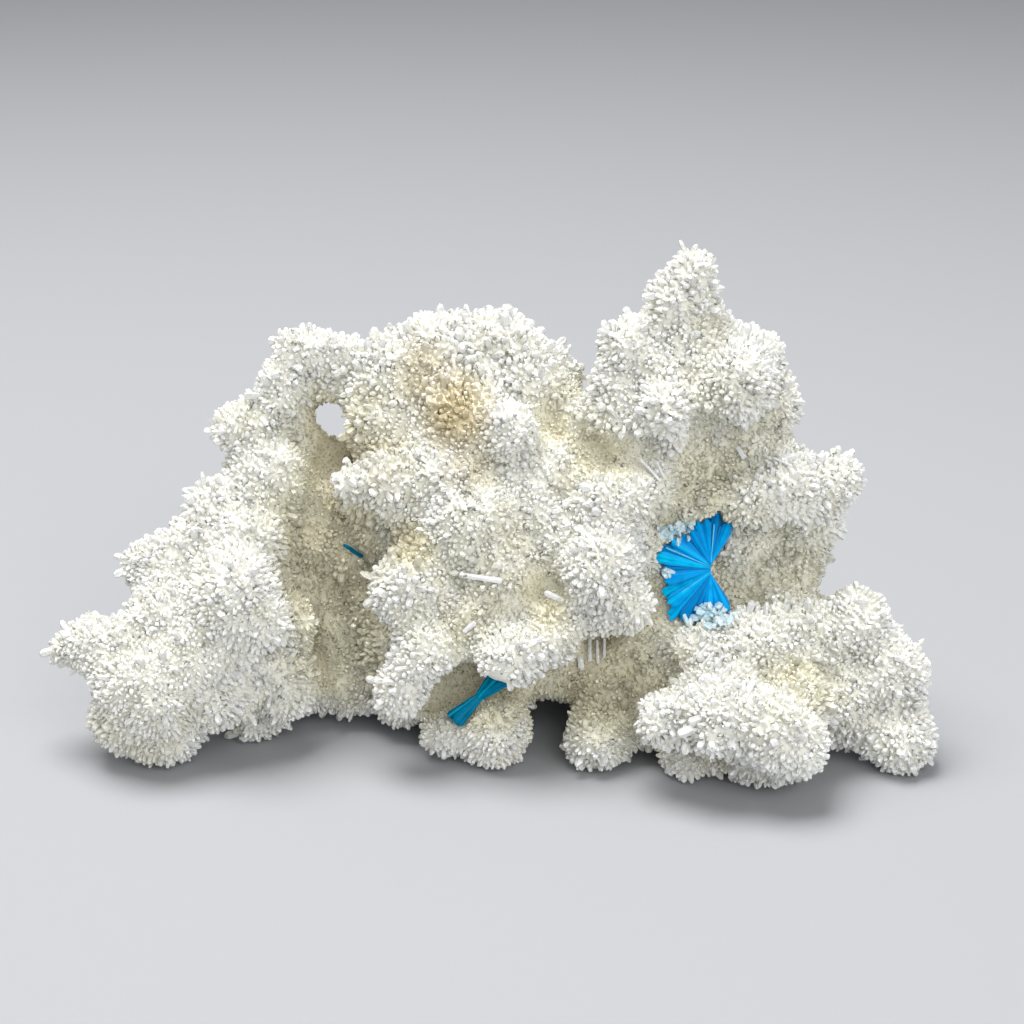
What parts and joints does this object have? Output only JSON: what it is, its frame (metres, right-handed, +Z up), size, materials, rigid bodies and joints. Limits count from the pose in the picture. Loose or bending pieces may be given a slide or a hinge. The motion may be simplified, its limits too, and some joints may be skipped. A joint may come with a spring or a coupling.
{
  "type": "cavansite mineral specimen",
  "caption": "Knobbly white stilbite crystal cluster with a blue cavansite half rosette, a small sheaf and a splinter in its hollows, standing free on its lowest knobs.",
  "frame": {"origin": "under the middle of the cluster, on the surface that its lowest knobs stand on", "axes": "+X along the cluster's length, towards the foot beside the half rosette; +Y away from the side that shows the cavansite; +Z up"},
  "size_m": [0.1175, 0.0598, 0.0658],
  "materials": {
    "stilbite": "clear to white glassy crystal points, cream in the hollows",
    "cavansite": "bright azure blue, glassy blades"
  },
  "bodies": {
    "root": {"stilbite_cluster": "stilbite", "cavansite_fan": "cavansite", "cavansite_bow_tie": "cavansite", "cavansite_sliver": "cavansite"}
  },
  "joints": []
}
